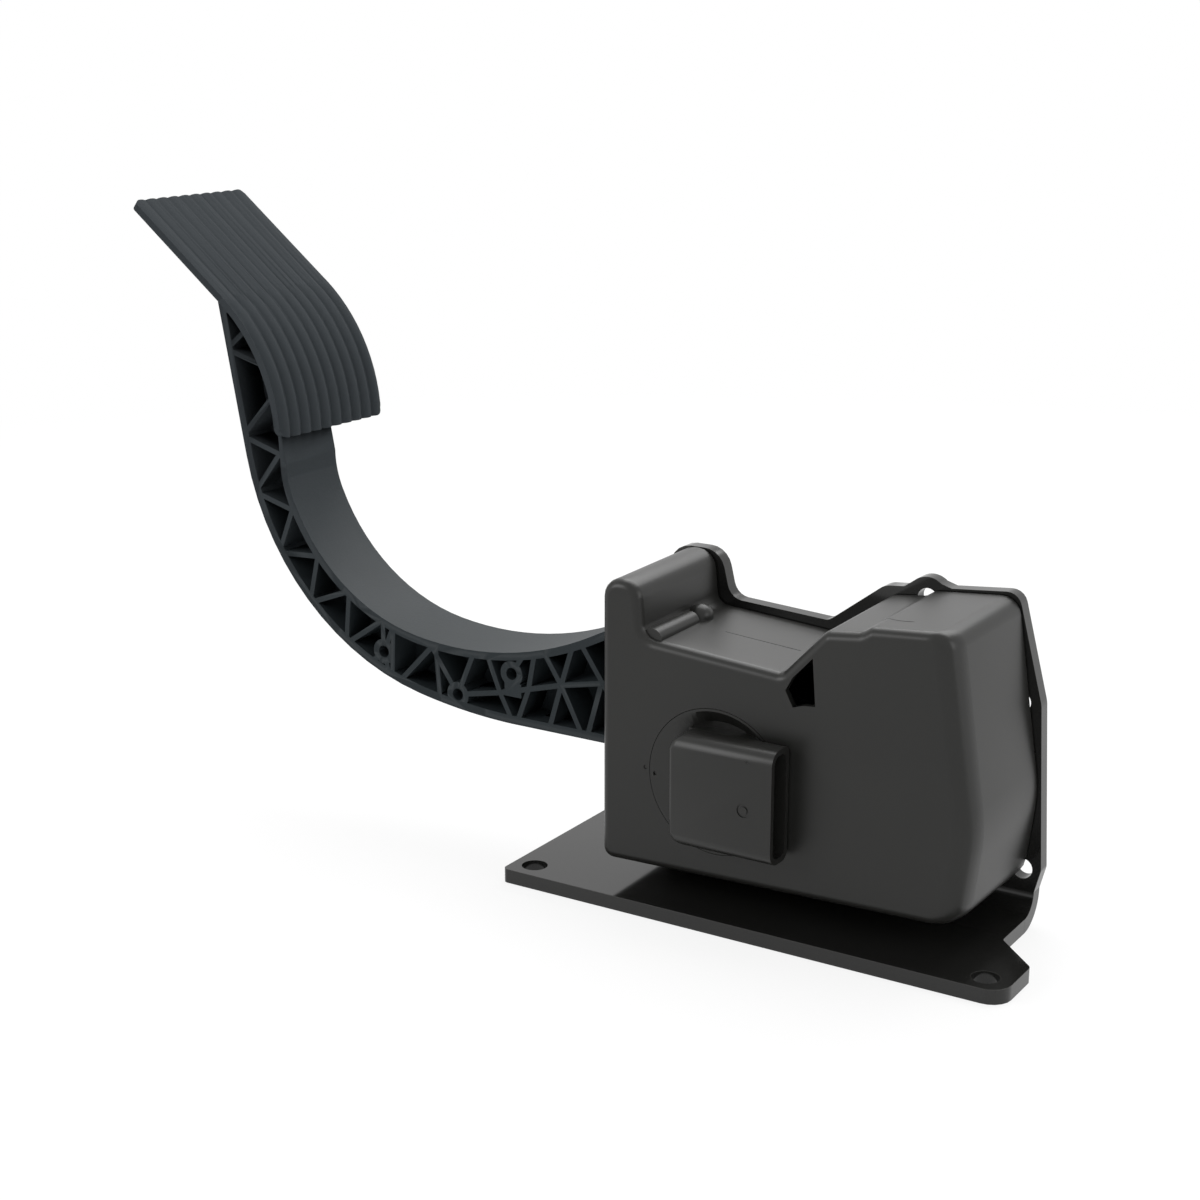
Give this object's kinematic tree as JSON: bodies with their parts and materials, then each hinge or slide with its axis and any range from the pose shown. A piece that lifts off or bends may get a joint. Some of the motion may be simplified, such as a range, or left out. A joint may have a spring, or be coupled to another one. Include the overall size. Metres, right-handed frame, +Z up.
{
  "type": "accelerator pedal",
  "caption": "Electronic accelerator pedal: a ribbed arm with a grooved foot pad pivots in a folded steel bracket under a moulded cover with springs and a connector.",
  "frame": {"origin": "midway between the two front fixing holes, on the underside of the base plate", "axes": "+X along the plate from the foot pad's end to the spring end, +Y from the open front to the upright behind, +Z up from the floor"},
  "size_m": [0.3599, 0.0955, 0.2225],
  "materials": {
    "bracket_steel": "gloss black paint on folded sheet steel",
    "cover_plastic": "satin moulded black plastic",
    "arm_plastic": "fine stippled dark grey glass-filled plastic",
    "sensor_plastic": "satin moulded black plastic",
    "bush_plastic": "natural acetal",
    "stop_rubber": "matt moulded rubber",
    "zinc_steel": "zinc plated",
    "spring_steel": "oiled spring wire",
    "board_laminate": "green coated laminate",
    "magnet": "sintered ferrite",
    "terminal_metal": "tin plated brass"
  },
  "bodies": {
    "housing": {"mounting_bracket": "bracket_steel", "housing_cover": "cover_plastic", "pivot_pin": "zinc_steel", "hub_washer": "zinc_steel", "retaining_ring": "spring_steel", "outer_spring": "spring_steel", "inner_spring": "spring_steel", "spring_cap": "cover_plastic", "friction_shoe": "bush_plastic", "friction_spring": "spring_steel", "idle_stop": "stop_rubber", "full_travel_stop": "stop_rubber", "sensor_body": "sensor_plastic", "sensor_lid": "sensor_plastic", "sensor_board": "board_laminate", "connector_terminals": "terminal_metal", "sensor_seal": "stop_rubber", "sensor_screws": "zinc_steel", "cover_screws": "zinc_steel"},
    "arm": {"pedal_arm": "arm_plastic", "front_bush": "bush_plastic", "back_bush": "bush_plastic", "spring_seat": "cover_plastic", "sensor_rotor": "bush_plastic", "rotor_magnet": "magnet"}
  },
  "joints": [
    {"name": "pedal_pivot", "type": "hinge", "parent": "housing", "child": "arm", "pos_m": [-0.014, 0.028, 0.048], "axis": [0, -1, 0], "range_deg": [0, 18], "stiffness_Nm_per_rad": 6, "springref_deg": -28.65, "deforming": ["outer_spring", "inner_spring"]}
  ]
}
